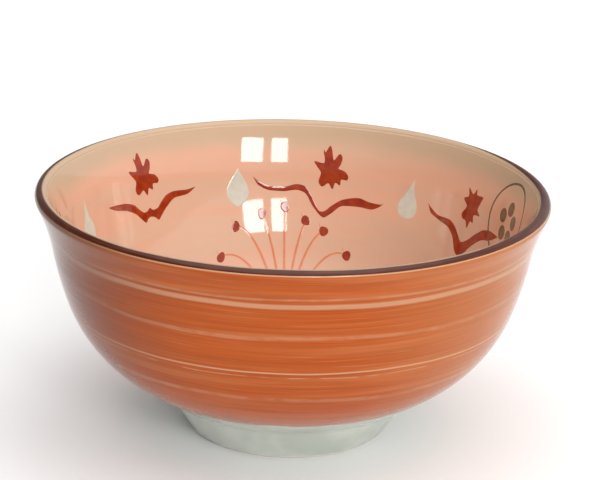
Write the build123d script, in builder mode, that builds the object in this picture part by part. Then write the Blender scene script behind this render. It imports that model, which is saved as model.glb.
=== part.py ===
"""Painted porcelain rice bowl with an everted lip and a luted foot ring.

Frame: millimetres, +Z up, origin at the centre of the foot's contact ring, +Y to the back of
the bowl, the side with the blossom spray that faces a user. Every coat, band and painted motif
is a thin solid of its own that lies face to face on what carries it.
"""

import os
from math import atan2, cos, degrees, hypot, radians, sin

from build123d import *

os.makedirs("parts", exist_ok=True)

# ---------------------------------------------------------------- driving dimensions (mm, degrees)
rim_radius = 74.0  # outermost point of the lip
bowl_height = 72.4  # contact ring to the top of the lip
wall_thickness = 3.7  # finished wall, glaze to glaze; the lip is a full round of this width
glaze_thickness = 0.4  # every glaze coat
paint_thickness = 0.15  # painted motifs, proud of the inside glaze

lip_slope = 64.5  # slope of the wall at the lip, from the horizontal
flare_radius = 53.0  # outward-curving stretch under the lip
flare_turn = 14.7
upper_turn = 8.4  # nearly upright stretch below the flare; its length makes up the height
belly_radius = 44.4  # round belly, outside
belly_turn = 36.4
coat_edge_height = 18.9  # where the belly ends and the orange coat stops

lip_straight = 1.1  # straight stretch of wall between the lip's round and the flare
band_turn = 50.0  # outer edge of the iron band, degrees up the lip's round from the outside
floor_slope = 12.0  # slope of the inside where the belly meets the floor

foot_radius = 27.8  # foot ring at the contact plane, before its edge is rounded
foot_lean = 57.0  # slope of the foot's outer side, from the horizontal
foot_width = 3.3  # foot ring at the contact plane, before its edge is rounded
seat_height = 9.1  # underside of the body where it sits on the foot ring
seat_inset = 1.3  # the seat's edge inside the foot's outer side
foot_edge_radius = 2.0
recess_height = 8.6  # contact plane to the clay inside the foot ring
bare_height = 1.2  # unglazed strip wiped clean above the contact ring
crease_radius = 4.0  # glaze pooled in the crease between the foot and the underside

tear_drop = 19.1  # centre of a white drop below the lip, measured down the wall
spray_drop = 43.15
stem_width = 1.0
anther_radius = 1.6
ring_outer_radius = 12.6
ring_line_width = 0.9
petal_count = 5
petal_offset = 4.4
petal_radius = 2.3

# Places of the painted motifs: the bearing, clockwise from the back (+Y) as seen from above,
# and the distance down the wall. They are painted free-hand, so the spacing is uneven.
leaf_places = [
    (-93.0, 12.6), (-44.3, 11.4), (10.0, 13.0), (55.7, 16.2), (112.3, 11.8), (158.8, 12.4),
    (208.7, 14.2),
]
bird_places = [
    (-93.5, 19.5), (-43.3, 21.7), (8.0, 21.7), (55.4, 24.2), (112.8, 19.5), (157.5, 21.6),
    (209.5, 22.8),
]
tear_bearings = [-70.0, -15.7, 33.6, 89.8, 136.5, 183.5, 234.5]
spray_bearings = [-2.4, 124.0, 244.0]
ring_bearing = 75.0
ring_drop = 14.5

# ---------------------------------------------------------------- wall line
# The wall is a chain of tangent arcs, the same for every depth under the outer surface.
# A stretch is (radius at the outer surface, turn); a negative turn bends it outwards.
lip_round = wall_thickness / 2
lip_centre_radius = rim_radius - lip_round
lip_centre_height = bowl_height - lip_round
half_round = 180.0
coat_end = 4  # joint of the wall line where the orange coat stops
foot_end = 5  # joint on the foot ring, where the wall line stops


def downward(slope):
    """Unit direction down a wall of that slope, towards the axis."""
    return Vector(-cos(radians(slope)), -sin(radians(slope)))


def inward(slope):
    """Unit normal of a wall of that slope, into the bowl."""
    return Vector(-sin(radians(slope)), cos(radians(slope)))


def lip_point(depth, turn=0.0):
    """Point on the lip's full round at a depth, a turn up from where it leaves the outside.

    At no turn, it is also where the wall line at any depth under the outer surface begins.
    """
    centre = Vector(lip_centre_radius, lip_centre_height)
    return centre - inward(lip_slope + turn) * (lip_round - depth)


def wall_joints(depth, wall):
    """Points and slopes of the wall line's joints at a depth under the outer surface."""
    point = lip_point(depth)
    slope = lip_slope
    joints = [(point, slope)]
    point = point + downward(slope) * lip_straight
    joints.append((point, slope))
    for radius, turn in wall:
        bend = radius - depth if turn > 0 else -(radius + depth)
        centre = point + inward(slope) * bend
        slope = slope - turn
        point = centre - inward(slope) * bend
        joints.append((point, slope))
    return joints


def draw_wall(depth, first, last, wall):
    """Draw the wall line between two of its joints and return its ends."""
    joints = wall_joints(depth, wall)
    for index in range(first, last):
        start, slope = joints[index]
        if index == 0:
            Line(start, joints[1][0])
        else:
            radius, turn = wall[index - 1]
            bend = radius - depth if turn > 0 else radius + depth
            JernArc(start=start, tangent=downward(slope), radius=bend, arc_size=-turn)
    return joints[first][0], joints[last][0]


def draw_coat(outer_depth, inner_depth, first, last):
    """Draw the closed outline of a coat between two depths and two joints of the wall line."""
    outer_start, outer_end = draw_wall(outer_depth, first, last, outside)
    inner_start, inner_end = draw_wall(inner_depth, first, last, outside)
    Line(outer_start, inner_start)
    Line(outer_end, inner_end)


# The upper stretch has the radius that brings the end of the belly to its height.
upright_slope = lip_slope + flare_turn
belly_slope = upright_slope - upper_turn
haunch_slope = belly_slope - belly_turn
flare = (flare_radius, -flare_turn)
belly = (belly_radius, belly_turn)
flare_end_height = wall_joints(0, [flare])[-1][0].Y
belly_fall = belly_radius * (cos(radians(haunch_slope)) - cos(radians(belly_slope)))
upper_fall = flare_end_height - belly_fall - coat_edge_height
upper_radius = upper_fall / (cos(radians(belly_slope)) - cos(radians(upright_slope)))
upper = (upper_radius, upper_turn)

# The haunch is the arc that leaves the belly smoothly and ends at the foot's seat.
foot_run = cos(radians(foot_lean)) / sin(radians(foot_lean))  # lean of the side per mm of height
seat_radius = foot_radius + seat_height * foot_run - seat_inset
belly_end = wall_joints(0, [flare, upper, belly])[-1][0]
haunch_run = belly_end.X - seat_radius
haunch_fall = belly_end.Y - seat_height
haunch_turn = 2 * (haunch_slope - degrees(atan2(haunch_fall, haunch_run)))
haunch_radius = abs(hypot(haunch_run, haunch_fall) / 2 / sin(radians(haunch_turn / 2)))
haunch = (haunch_radius, haunch_turn)
outside = [flare, upper, belly, haunch]

# The inside keeps the belly's arc until it is nearly level, and a wide arc closes the floor.
inside = [flare, upper, (belly_radius, belly_slope - floor_slope)]


def draw_inside(depth):
    """Draw the inside line at a depth, from the lip to the axis, and return its ends."""
    start, floor_edge = draw_wall(depth, 0, len(inside) + 1, inside)
    floor_radius = floor_edge.X / sin(radians(floor_slope))
    floor_sag = floor_radius * (1 - cos(radians(floor_slope)))
    floor_centre = Vector(0, floor_edge.Y - floor_sag)
    JernArc(
        start=floor_edge,
        tangent=downward(floor_slope),
        radius=floor_radius,
        arc_size=-floor_slope,
    )
    return start, floor_centre


def draw_layer(shallow, deep):
    """Draw the closed outline of a layer on the inside, from the lip to the axis."""
    shallow_start, shallow_centre = draw_inside(shallow)
    deep_start, deep_centre = draw_inside(deep)
    Line(shallow_start, deep_start)
    Line(shallow_centre, deep_centre)


def draw_lip(depth, first, last):
    """Draw the lip's round at a depth from one turn to another and return its ends."""
    ends = lip_point(depth, first), lip_point(depth, last)
    ThreePointArc(ends[0], lip_point(depth, (first + last) / 2), ends[1])
    return ends


# ---------------------------------------------------------------- clay
inside_clay_depth = wall_thickness - glaze_thickness
foot_joint = wall_joints(glaze_thickness, outside)[foot_end][0]

with BuildPart() as bowl_body:
    with BuildSketch(Plane.XZ):
        with BuildLine():
            draw_lip(glaze_thickness, 0, half_round)
            draw_wall(glaze_thickness, 0, foot_end, outside)
            clay_start, clay_floor = draw_inside(inside_clay_depth)
            recess_edge = Vector(foot_joint.X, recess_height)
            Line(foot_joint, recess_edge)
            Line(recess_edge, (0, recess_height))
            Line((0, recess_height), clay_floor)
        make_face()
    revolve(axis=Axis.Z)
bowl_body.part.label = "bowl_body"
export_step(bowl_body.part, "parts/bowl_body.step")

# The foot ring is turned with a leaning side and cut to the curve of the body that it is luted to.
foot_blank_height = clay_floor.Y
foot_blank_radius = foot_radius + foot_blank_height * foot_run
foot_bore_radius = foot_radius - foot_width

with BuildPart() as foot_ring:
    with BuildSketch(Plane.XZ):
        with BuildLine():
            Polyline(
                (foot_bore_radius, 0),
                (foot_radius, 0),
                (foot_blank_radius, foot_blank_height),
                (foot_bore_radius, foot_blank_height),
                close=True,
            )
        make_face()
    revolve(axis=Axis.Z)
    contact_edge = foot_ring.edges().filter_by_position(Axis.Z, -0.01, 0.01).sort_by(SortBy.RADIUS)[-1]
    fillet(contact_edge, foot_edge_radius)
    add(bowl_body.part, mode=Mode.SUBTRACT)
foot_ring.part.label = "foot_ring"
export_step(foot_ring.part, "parts/foot_ring.step")

# ---------------------------------------------------------------- glaze coats
with BuildPart() as outer_glaze:
    with BuildSketch(Plane.XZ):
        with BuildLine():
            coat_top = draw_lip(0, 0, band_turn)[1]
            clay_top = draw_lip(glaze_thickness, 0, band_turn)[1]
            coat_bottom = draw_wall(0, 0, coat_end, outside)[1]
            clay_bottom = draw_wall(glaze_thickness, 0, coat_end, outside)[1]
            Line(coat_top, clay_top)
            Line(coat_bottom, clay_bottom)
        make_face()
    revolve(axis=Axis.Z)
outer_glaze.part.label = "outer_glaze"
export_step(outer_glaze.part, "parts/outer_glaze.step")

with BuildPart() as inner_glaze:
    with BuildSketch(Plane.XZ):
        with BuildLine():
            draw_layer(wall_thickness, inside_clay_depth)
        make_face()
    revolve(axis=Axis.Z)
inner_glaze.part.label = "inner_glaze"
export_step(inner_glaze.part, "parts/inner_glaze.step")

with BuildPart() as rim_band:
    with BuildSketch(Plane.XZ):
        with BuildLine():
            band_outer, band_inner = draw_lip(0, band_turn, half_round)
            clay_outer, clay_inner = draw_lip(glaze_thickness, band_turn, half_round)
            Line(band_outer, clay_outer)
            Line(band_inner, clay_inner)
        make_face()
    revolve(axis=Axis.Z)
rim_band.part.label = "rim_band"
export_step(rim_band.part, "parts/rim_band.step")

# The pale glaze runs from the orange coat over the underside and down the foot's side.
glaze_run = glaze_thickness / sin(radians(foot_lean))
bare_edge = foot_radius + bare_height * foot_run

with BuildPart() as foot_glaze:
    with BuildSketch(Plane.XZ):
        with BuildLine():
            draw_coat(0, glaze_thickness, coat_end, foot_end)
        make_face()
        with BuildLine():
            Polyline(
                (bare_edge, bare_height),
                (bare_edge + glaze_run, bare_height),
                (foot_blank_radius + glaze_run, foot_blank_height),
                (foot_blank_radius, foot_blank_height),
                close=True,
            )
        make_face()
    revolve(axis=Axis.Z)
    add(bowl_body.part, mode=Mode.SUBTRACT)
    add(foot_ring.part, mode=Mode.SUBTRACT)
    # Upwards, the whole rings are the two at the wiped strip, the crease, and those above it.
    glaze_rings = foot_glaze.edges().filter_by(lambda edge: edge.is_closed).sort_by(Axis.Z)
    fillet(glaze_rings[2], crease_radius)
foot_glaze.part.label = "foot_glaze"
export_step(foot_glaze.part, "parts/foot_glaze.step")

# Inside the foot ring the glaze lines the recess, down to the same wiped strip.
lining_radius = foot_bore_radius - glaze_thickness
lining_height = recess_height - glaze_thickness

with BuildPart() as recess_glaze:
    with BuildSketch(Plane.XZ):
        with BuildLine():
            Polyline(
                (0, recess_height),
                (foot_bore_radius, recess_height),
                (foot_bore_radius, bare_height),
                (lining_radius, bare_height),
                (lining_radius, lining_height),
                (0, lining_height),
                close=True,
            )
        make_face()
    revolve(axis=Axis.Z)
recess_glaze.part.label = "recess_glaze"
export_step(recess_glaze.part, "parts/recess_glaze.step")

# ---------------------------------------------------------------- painted motifs
# A motif is its outline, pushed through a thin layer that lies on the inside glaze.
with BuildPart() as paint_layer:
    with BuildSketch(Plane.XZ):
        with BuildLine():
            draw_layer(wall_thickness + paint_thickness, wall_thickness)
        make_face()
    revolve(axis=Axis.Z)

inside_joints = wall_joints(wall_thickness, inside)


def wall_place(drop):
    """Radius, height and slope of the inside at a distance down the wall from the lip."""
    left = drop - lip_straight
    point, slope = inside_joints[1]
    for index, (radius, turn) in enumerate(inside):
        point, slope = inside_joints[index + 1]
        bend = radius - wall_thickness if turn > 0 else -(radius + wall_thickness)
        length = abs(bend * radians(turn))
        if left <= length or index == len(inside) - 1:
            end_slope = slope - degrees(left / bend)
            place = point + inward(slope) * bend - inward(end_slope) * bend
            return place.X, place.Y, end_slope
        left = left - length


def motif_plane(bearing, drop, tilt=0.0):
    """Plane outside the wall with x to the right and y up, as seen from the bowl's axis.

    A tilt turns the plane back, so that it lies along a wall that leans outwards.
    """
    radius, height, slope = wall_place(drop)
    turn = radians(bearing)
    right = Vector(cos(turn), -sin(turn), 0)
    out = Vector(sin(turn), cos(turn), 0)
    facing = out * -cos(radians(tilt)) + Vector(0, 0, sin(radians(tilt)))
    return Plane(origin=out * radius + Vector(0, 0, height), x_dir=right, z_dir=facing)


motif_reach = 12.0  # half the length of the block that cuts a motif out of the paint layer

# Leaf outlines: tips and hollows in turn, clockwise from the top tip (mm right, mm up).
leaf_five_lobed = [
    (-0.6, 6.8), (0.2, 5.2), (0.9, 2.3), (2.6, 4.4), (3.6, 3.2), (3.2, 1.2), (2.6, -0.2),
    (4.6, -0.9), (5.8, -2.4), (5.4, -3.6), (3.6, -3.6), (3.3, -5.4), (1.8, -4.7), (1.0, -6.8),
    (-0.4, -5.0), (-2.3, -6.2), (-3.5, -4.6), (-2.9, -1.9), (-4.2, 0.0), (-5.2, 1.7),
    (-2.0, 1.3), (-2.6, 5.4), (-1.8, 4.7),
]
leaf_ragged = [
    (0.9, 6.1), (1.5, 4.4), (4.5, 4.5), (4.1, 2.8), (3.2, 0.2), (4.8, -1.3), (1.9, -1.8),
    (2.2, -4.2), (0.9, -4.0), (-0.1, -6.4), (-1.2, -4.4), (-2.9, -4.0), (-3.6, -2.6),
    (-2.1, 0.0), (-4.0, 2.0), (-2.1, 3.2), (-2.8, 5.7), (-0.4, 4.2),
]
leaf_outlines = [leaf_five_lobed, leaf_five_lobed, leaf_five_lobed, leaf_ragged]

for index, (bearing, drop) in enumerate(leaf_places):
    outline = leaf_outlines[index % len(leaf_outlines)]
    with BuildPart() as maple_leaf:
        with BuildSketch(motif_plane(bearing, drop)):
            with BuildLine():
                Polyline(*outline, close=True)
            make_face()
        extrude(amount=motif_reach, both=True)
        add(paint_layer.part, mode=Mode.INTERSECT)
    maple_leaf.part.label = f"maple_leaf_{index + 1}"
    export_step(maple_leaf.part, f"parts/maple_leaf_{index + 1}.step")

# Bird strokes: (mm right, lower edge, upper edge), from the left wing tip to the right one.
bird_soaring = [
    (-22.8, 6.2, 6.2), (-20.0, 2.4, 3.9), (-16.0, 0.8, 2.1), (-12.0, 0.6, 2.0),
    (-8.0, 1.1, 2.9), (-5.4, 0.3, 2.4), (-3.0, -3.4, -0.8), (0.0, -6.7, -5.4),
    (1.0, -7.2, -5.2), (3.0, -6.0, -3.5), (7.0, -3.0, -1.0), (12.0, -2.8, 0.0),
    (16.0, -3.1, -0.9), (19.0, -1.9, -1.0), (21.4, 0.6, 0.6),
]
bird_gliding = [
    (-18.3, 3.6, 3.6), (-14.0, 1.6, 3.3), (-10.0, 0.7, 2.9), (-6.0, -1.2, 1.6),
    (-3.8, -3.4, -0.4), (-2.2, -4.7, -1.5), (-1.0, -3.5, -1.2), (0.0, -3.2, -0.3),
    (1.2, -3.5, -1.3), (2.7, -4.7, -1.1), (4.4, -3.2, 0.5), (7.0, -0.8, 2.5),
    (10.0, 1.1, 3.2), (14.0, 1.5, 3.1), (18.2, 3.8, 3.8),
]
bird_diving = [
    (-18.0, 5.9, 5.9), (-15.6, 2.3, 3.9), (-12.0, 1.0, 2.3), (-8.0, -0.1, 2.2),
    (-5.0, -2.3, 0.9), (-2.4, -6.2, -1.5), (-0.6, -7.3, -3.0), (1.4, -6.4, -2.1),
    (5.0, -2.6, 1.0), (9.0, 0.3, 3.5), (13.0, 1.4, 4.3), (18.5, 4.2, 4.2),
]
bird_outlines = [bird_soaring, bird_gliding, bird_soaring, bird_diving]
bird_strokes = []

for index, (bearing, drop) in enumerate(bird_places):
    stations = bird_outlines[index % len(bird_outlines)]
    upper_edge = [(along, high) for along, low, high in stations]
    lower_edge = [(along, low) for along, low, high in stations]
    with BuildPart() as bird_stroke:
        with BuildSketch(motif_plane(bearing, drop)):
            with BuildLine():
                Spline(*upper_edge)
                Spline(*lower_edge)
            make_face()
        extrude(amount=motif_reach, both=True)
        add(paint_layer.part, mode=Mode.INTERSECT)
    bird_stroke.part.label = f"bird_stroke_{index + 1}"
    export_step(bird_stroke.part, f"parts/bird_stroke_{index + 1}.step")
    bird_strokes.append(bird_stroke.part)

tear_tip = 7.8  # above the drop's centre
tear_half_width = 3.7
tear_waist = 3.0  # height of the flank's middle point
tear_round = -2.8  # height of the round end's centre
tear_base = -6.5
tear_waist_share = 0.3  # width at the waist and the tip's spread, as shares of the full width
tear_tip_share = 0.05

for index, bearing in enumerate(tear_bearings):
    with BuildPart() as white_drop:
        with BuildSketch(motif_plane(bearing, tear_drop)):
            with BuildLine():
                for side in (tear_half_width, -tear_half_width):
                    flank = ((0, tear_tip), (side * tear_waist_share, tear_waist), (side, tear_round))
                    Spline(*flank, tangents=((side * tear_tip_share, -1), (0, -1)))
                ThreePointArc((tear_half_width, tear_round), (0, tear_base), (-tear_half_width, tear_round))
            make_face()
        extrude(amount=motif_reach, both=True)
        add(paint_layer.part, mode=Mode.INTERSECT)
    white_drop.part.label = f"white_drop_{index + 1}"
    export_step(white_drop.part, f"parts/white_drop_{index + 1}.step")

# A spray is seven stems that rise from one root and end in anthers, the outer ones bent over.
spray_root = (0.0, -22.0)
anther_places = [
    (-20.2, 2.0), (-15.4, 11.3), (-7.1, 15.0), (0.1, 17.1), (6.7, 13.0), (12.4, 10.0), (19.8, 3.0),
]
stem_spread = 0.35  # how far a stem's bend lies from the root, as a share of the anther's distance

for index, bearing in enumerate(spray_bearings):
    spray_tilt = 90 - wall_place(spray_drop)[2]
    spray_plane = motif_plane(bearing, spray_drop, spray_tilt)
    with BuildPart() as lily_anthers:
        with BuildSketch(spray_plane):
            with Locations(*anther_places):
                Circle(anther_radius)
        extrude(amount=motif_reach, both=True)
        add(paint_layer.part, mode=Mode.INTERSECT)
    lily_anthers.part.label = f"lily_anthers_{index + 1}"
    export_step(lily_anthers.part, f"parts/lily_anthers_{index + 1}.step")

    with BuildPart() as lily_stems:
        with BuildSketch(spray_plane):
            for along, high in anther_places:
                rise = high - spray_root[1]
                bend = (along * stem_spread, spray_root[1] + rise * (1 - stem_spread / 2))
                with BuildLine():
                    Bezier(spray_root, bend, (along, high))
                trace(line_width=stem_width)
        extrude(amount=motif_reach, both=True)
        add(paint_layer.part, mode=Mode.INTERSECT)
        add(lily_anthers.part, mode=Mode.SUBTRACT)
    lily_stems.part.label = f"lily_stems_{index + 1}"
    export_step(lily_stems.part, f"parts/lily_stems_{index + 1}.step")

# One plain ornament on the right: a thin ring round a five-petalled blossom.
with BuildPart() as ring_ornament:
    with BuildSketch(motif_plane(ring_bearing, ring_drop)):
        Circle(ring_outer_radius)
        Circle(ring_outer_radius - ring_line_width, mode=Mode.SUBTRACT)
        with PolarLocations(petal_offset, petal_count, start_angle=90):
            Circle(petal_radius)
    extrude(amount=motif_reach, both=True)
    add(paint_layer.part, mode=Mode.INTERSECT)
    add(bird_strokes, mode=Mode.SUBTRACT)
ring_ornament.part.label = "ring_ornament"
export_step(ring_ornament.part, "parts/ring_ornament.step")
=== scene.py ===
"""Painted porcelain rice bowl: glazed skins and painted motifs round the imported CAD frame.

Sizes are in millimetres in the classes and become metres where a mesh is made. The bowl's axis is
Z, +Y is its back, and a bearing is an angle clockwise from the back as seen from above. A "run" is
a distance down the wall from the lip, along the surface.
"""

import logging
from collections.abc import Callable, Sequence
from dataclasses import dataclass, field, replace
from enum import Enum

import bpy
import numpy as np
from mathutils import Matrix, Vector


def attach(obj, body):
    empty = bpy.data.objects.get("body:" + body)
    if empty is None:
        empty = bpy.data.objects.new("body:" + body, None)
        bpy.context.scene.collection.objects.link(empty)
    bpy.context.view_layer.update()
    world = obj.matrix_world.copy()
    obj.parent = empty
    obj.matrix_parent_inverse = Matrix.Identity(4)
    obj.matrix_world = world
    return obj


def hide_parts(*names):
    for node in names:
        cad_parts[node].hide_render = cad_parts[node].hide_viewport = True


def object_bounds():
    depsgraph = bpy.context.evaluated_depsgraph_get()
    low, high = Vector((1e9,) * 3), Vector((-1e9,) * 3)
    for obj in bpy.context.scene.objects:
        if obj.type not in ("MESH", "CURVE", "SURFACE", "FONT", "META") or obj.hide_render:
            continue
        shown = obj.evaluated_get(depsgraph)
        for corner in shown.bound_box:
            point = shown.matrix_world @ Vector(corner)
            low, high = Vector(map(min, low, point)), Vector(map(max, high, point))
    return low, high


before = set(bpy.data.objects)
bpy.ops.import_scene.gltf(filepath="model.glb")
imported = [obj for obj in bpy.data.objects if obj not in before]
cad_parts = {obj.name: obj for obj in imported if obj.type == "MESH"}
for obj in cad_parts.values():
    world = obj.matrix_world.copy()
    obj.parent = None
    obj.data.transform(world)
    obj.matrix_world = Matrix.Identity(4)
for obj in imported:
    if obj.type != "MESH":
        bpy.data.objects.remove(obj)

CAD_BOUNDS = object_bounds()
MM = 0.001
BODY = "root"
Array = np.ndarray
Tree = bpy.types.NodeTree
Socket = bpy.types.NodeSocket
Rgba = tuple[float, float, float, float]
Span = tuple[float, float]
log = logging.getLogger("bowl")


# ---------------------------------------------------------------- numbers and curves
def smooth_step(low: float, high: float, value: Array) -> Array:
    """Ease from 0 at low to 1 at high along a cubic.

    Args:
        low: value that gives 0.
        high: value that gives 1.
        value: numbers to ease.

    Returns:
        The eased numbers.
    """
    share = np.clip((value - low) / (high - low), 0.0, 1.0)
    return share * share * (3.0 - 2.0 * share)


def slope_normal(slope: Array) -> Array:
    """Unit normals into the bowl, as (radius, height), of walls of these slopes in degrees."""
    angle = np.radians(slope)
    return np.stack([-np.sin(angle), np.cos(angle)], axis=-1)


def slope_downward(slope: Array) -> Array:
    """Unit directions down walls of these slopes, as (radius, height)."""
    angle = np.radians(slope)
    return np.stack([-np.cos(angle), -np.sin(angle)], axis=-1)


def smooth_loop(points: Array, per_side: int) -> Array:
    """Round a closed outline with Catmull-Rom curves.

    Each side is the cubic through its two points whose end tangents are half the chord between
    the neighbours on either side.

    Args:
        points: corners of the outline, (n, 2).
        per_side: points to make from each side.

    Returns:
        The rounded outline, (n * per_side, 2).
    """
    before, after = np.roll(points, 1, axis=0), np.roll(points, -1, axis=0)
    beyond = np.roll(points, -2, axis=0)
    t = np.linspace(0.0, 1.0, per_side, endpoint=False)[None, :, None]
    start, end = points[:, None, :], after[:, None, :]
    start_tangent = (after - before)[:, None, :] / 2
    end_tangent = (beyond - points)[:, None, :] / 2
    curve = (
        start * (2 * t**3 - 3 * t**2 + 1)
        + start_tangent * (t**3 - 2 * t**2 + t)
        + end * (3 * t**2 - 2 * t**3)
        + end_tangent * (t**3 - t**2)
    )
    return curve.reshape(-1, 2)


def monotone_curve(x: Array, y: Array, at: Array) -> Array:
    """Interpolate without overshoot.

    The cubic's slope at a station is the harmonic mean of the slopes on its two sides, or zero
    where they disagree in sign.

    Args:
        x: rising stations.
        y: values at the stations.
        at: places to find the value at.

    Returns:
        The values.
    """
    gap = np.diff(x)
    rate = np.diff(y) / gap
    product = rate[:-1] * rate[1:]
    total = np.where(rate[:-1] + rate[1:] == 0, 1.0, rate[:-1] + rate[1:])
    slope = np.concatenate([rate[:1], np.where(product > 0, 2 * product / total, 0.0), rate[-1:]])
    index = np.clip(np.searchsorted(x, at) - 1, 0, len(x) - 2)
    t = (at - x[index]) / gap[index]
    return (
        y[index] * (2 * t**3 - 3 * t**2 + 1)
        + slope[index] * gap[index] * (t**3 - 2 * t**2 + t)
        + y[index + 1] * (3 * t**2 - 2 * t**3)
        + slope[index + 1] * gap[index] * (t**3 - t**2)
    )


def edge_distance(points: Array, outline: Array) -> Array:
    """Distance from each point to the nearest side of a closed outline.

    Args:
        points: (n, 2) places.
        outline: (m, 2) corners.

    Returns:
        The n distances.
    """
    side = np.roll(outline, -1, axis=0) - outline
    length = np.maximum((side**2).sum(axis=1), 1e-12)
    offset = points[:, None, :] - outline[None, :, :]
    share = np.clip((offset * side[None]).sum(axis=2) / length[None], 0.0, 1.0)
    gap = offset - share[..., None] * side[None]
    return np.sqrt((gap**2).sum(axis=2)).min(axis=1)


# ---------------------------------------------------------------- the wall in section
class Side(Enum):
    """Which face of the wall a run is measured on."""

    OUTSIDE = "outside"
    INSIDE = "inside"


@dataclass(frozen=True)
class WallLine:
    """The wall's section: tangent arcs from the lip down, the same as in the CAD model.

    The outside and the inside are parallel down to the belly. The outside then runs flat to the
    foot's seat, and the inside closes in a wide floor arc.
    """

    rim_radius: float
    height: float
    thickness: float = 3.7
    glaze: float = 0.4
    lip_slope: float = 64.5
    straight: float = 1.1
    band_turn: float = 50.0
    flare_radius: float = 53.0
    flare_turn: float = 14.7
    upper_turn: float = 8.4
    belly_radius: float = 44.4
    belly_turn: float = 36.4
    coat_edge_height: float = 18.9
    floor_slope: float = 12.0
    foot_radius: float = 27.8
    foot_lean: float = 57.0
    foot_width: float = 3.3
    seat_height: float = 9.1
    seat_inset: float = 1.3
    recess_height: float = 8.6
    bare_height: float = 1.2

    @property
    def lip_round(self) -> float:
        """Radius of the lip's full round."""
        return self.thickness / 2

    @property
    def lip_centre(self) -> Array:
        """Centre of the lip's full round, as (radius, height)."""
        return np.array([self.rim_radius - self.lip_round, self.height - self.lip_round])

    @property
    def band_run(self) -> float:
        """Run of the iron band's outer edge, which lies on the lip's round."""
        return -self.lip_round * float(np.radians(self.band_turn))

    @property
    def foot_run(self) -> float:
        """How far the foot's side leans out per millimetre of height."""
        return float(1.0 / np.tan(np.radians(self.foot_lean)))

    @property
    def foot_proud(self) -> float:
        """How far level the foot's glaze stands out from its clay side."""
        return float(self.glaze / np.sin(np.radians(self.foot_lean)))

    def start(self, depth: float) -> Array:
        """Point where the wall at a depth under the outside leaves the lip's round."""
        return self.lip_centre - slope_normal(self.lip_slope) * (self.lip_round - depth)

    def upper_radius(self) -> float:
        """Radius of the upright stretch that brings the belly's end to its height.

        An arc of radius r between slopes a and b falls by r (cos b - cos a).

        Returns:
            The radius on the outside.
        """
        turns = [0.0, self.flare_turn, -self.upper_turn, -self.belly_turn]
        lip, upright, belly, haunch = np.cos(np.radians(self.lip_slope + np.cumsum(turns)))
        flare_end = (
            self.start(0.0)[1]
            - self.straight * np.sin(np.radians(self.lip_slope))
            - self.flare_radius * (lip - upright)
        )
        belly_fall = self.belly_radius * (haunch - belly)
        return float((flare_end - belly_fall - self.coat_edge_height) / (belly - upright))

    def stretches(self, side: Side) -> list[tuple[float, float]]:
        """The arcs of one face, in order down the wall.

        Args:
            side: the face.

        Returns:
            (radius on that face, turn) of each arc. A negative radius bends outwards.
        """
        depth = self.thickness if side is Side.INSIDE else 0.0
        belly_slope = self.lip_slope + self.flare_turn - self.upper_turn
        arcs = [
            (-(self.flare_radius + depth), -self.flare_turn),
            (self.upper_radius() - depth, self.upper_turn),
        ]
        if side is Side.OUTSIDE:
            haunch_slope = belly_slope - self.belly_turn
            arcs.append((self.belly_radius, self.belly_turn))
            point = self.joint(arcs, depth)
            seat_edge = self.foot_radius + self.seat_height * self.foot_run - self.seat_inset
            across, fall = point[0] - seat_edge, point[1] - self.seat_height
            turn = 2 * (haunch_slope - float(np.degrees(np.arctan2(fall, across))))
            half_chord = np.hypot(across, fall) / 2
            arcs.append((float(half_chord / np.sin(np.radians(turn / 2))), turn))
        else:
            arcs.append((self.belly_radius - depth, belly_slope - self.floor_slope))
            reach = self.joint(arcs, depth)[0]
            arcs.append((float(reach / np.sin(np.radians(self.floor_slope))), self.floor_slope))
        return arcs

    def joint(self, arcs: Sequence[tuple[float, float]], depth: float) -> Array:
        """Point at the end of these arcs.

        Args:
            arcs: (radius, turn) of each arc.
            depth: depth of their face under the outside.

        Returns:
            Radius and height.
        """
        slope = self.lip_slope
        point = self.start(depth) + slope_downward(slope) * self.straight
        for radius, turn in arcs:
            centre = point + slope_normal(slope) * radius
            slope = slope - turn
            point = centre - slope_normal(slope) * radius
        return point

    def length(self, side: Side, arcs: int) -> float:
        """Run from the lip to the end of the first so many arcs."""
        return self.straight + sum(abs(r * np.radians(t)) for r, t in self.stretches(side)[:arcs])

    def walk(self, runs: Array, side: Side) -> tuple[Array, Array]:
        """Follow one face down from the lip.

        Each arc takes over where the one before ends, and its slope changes evenly with the run:
        point = centre - normal(slope) x radius, with slope = first slope - run / radius. Negative
        runs on the outside go back over the lip's round.

        Args:
            runs: distances down the face.
            side: the face.

        Returns:
            Points (n, 2) as radius and height, and slopes (n,) in degrees.
        """
        depth = self.thickness if side is Side.INSIDE else 0.0
        slope = self.lip_slope
        point = self.start(depth)
        left = np.asarray(runs, dtype=float)
        points = point + slope_downward(slope) * left[:, None]
        slopes = np.full(len(left), slope)
        point = point + slope_downward(slope) * self.straight
        left = left - self.straight
        for radius, turn in self.stretches(side):
            on_arc = left > 0
            centre = point + slope_normal(slope) * radius
            arc_slopes = slope - np.degrees(left / radius)
            arc_points = centre - slope_normal(arc_slopes) * radius
            points = np.where(on_arc[:, None], arc_points, points)
            slopes = np.where(on_arc, arc_slopes, slopes)
            slope = slope - turn
            point = centre - slope_normal(slope) * radius
            left = left - abs(radius * np.radians(turn))
        over_lip = np.asarray(runs, dtype=float) < 0
        lip_slopes = self.lip_slope - np.degrees(np.minimum(runs, 0.0) / self.lip_round)
        lip_points = self.lip_centre - slope_normal(lip_slopes) * self.lip_round
        points = np.where(over_lip[:, None], lip_points, points)
        return points, np.where(over_lip, lip_slopes, slopes)

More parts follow.
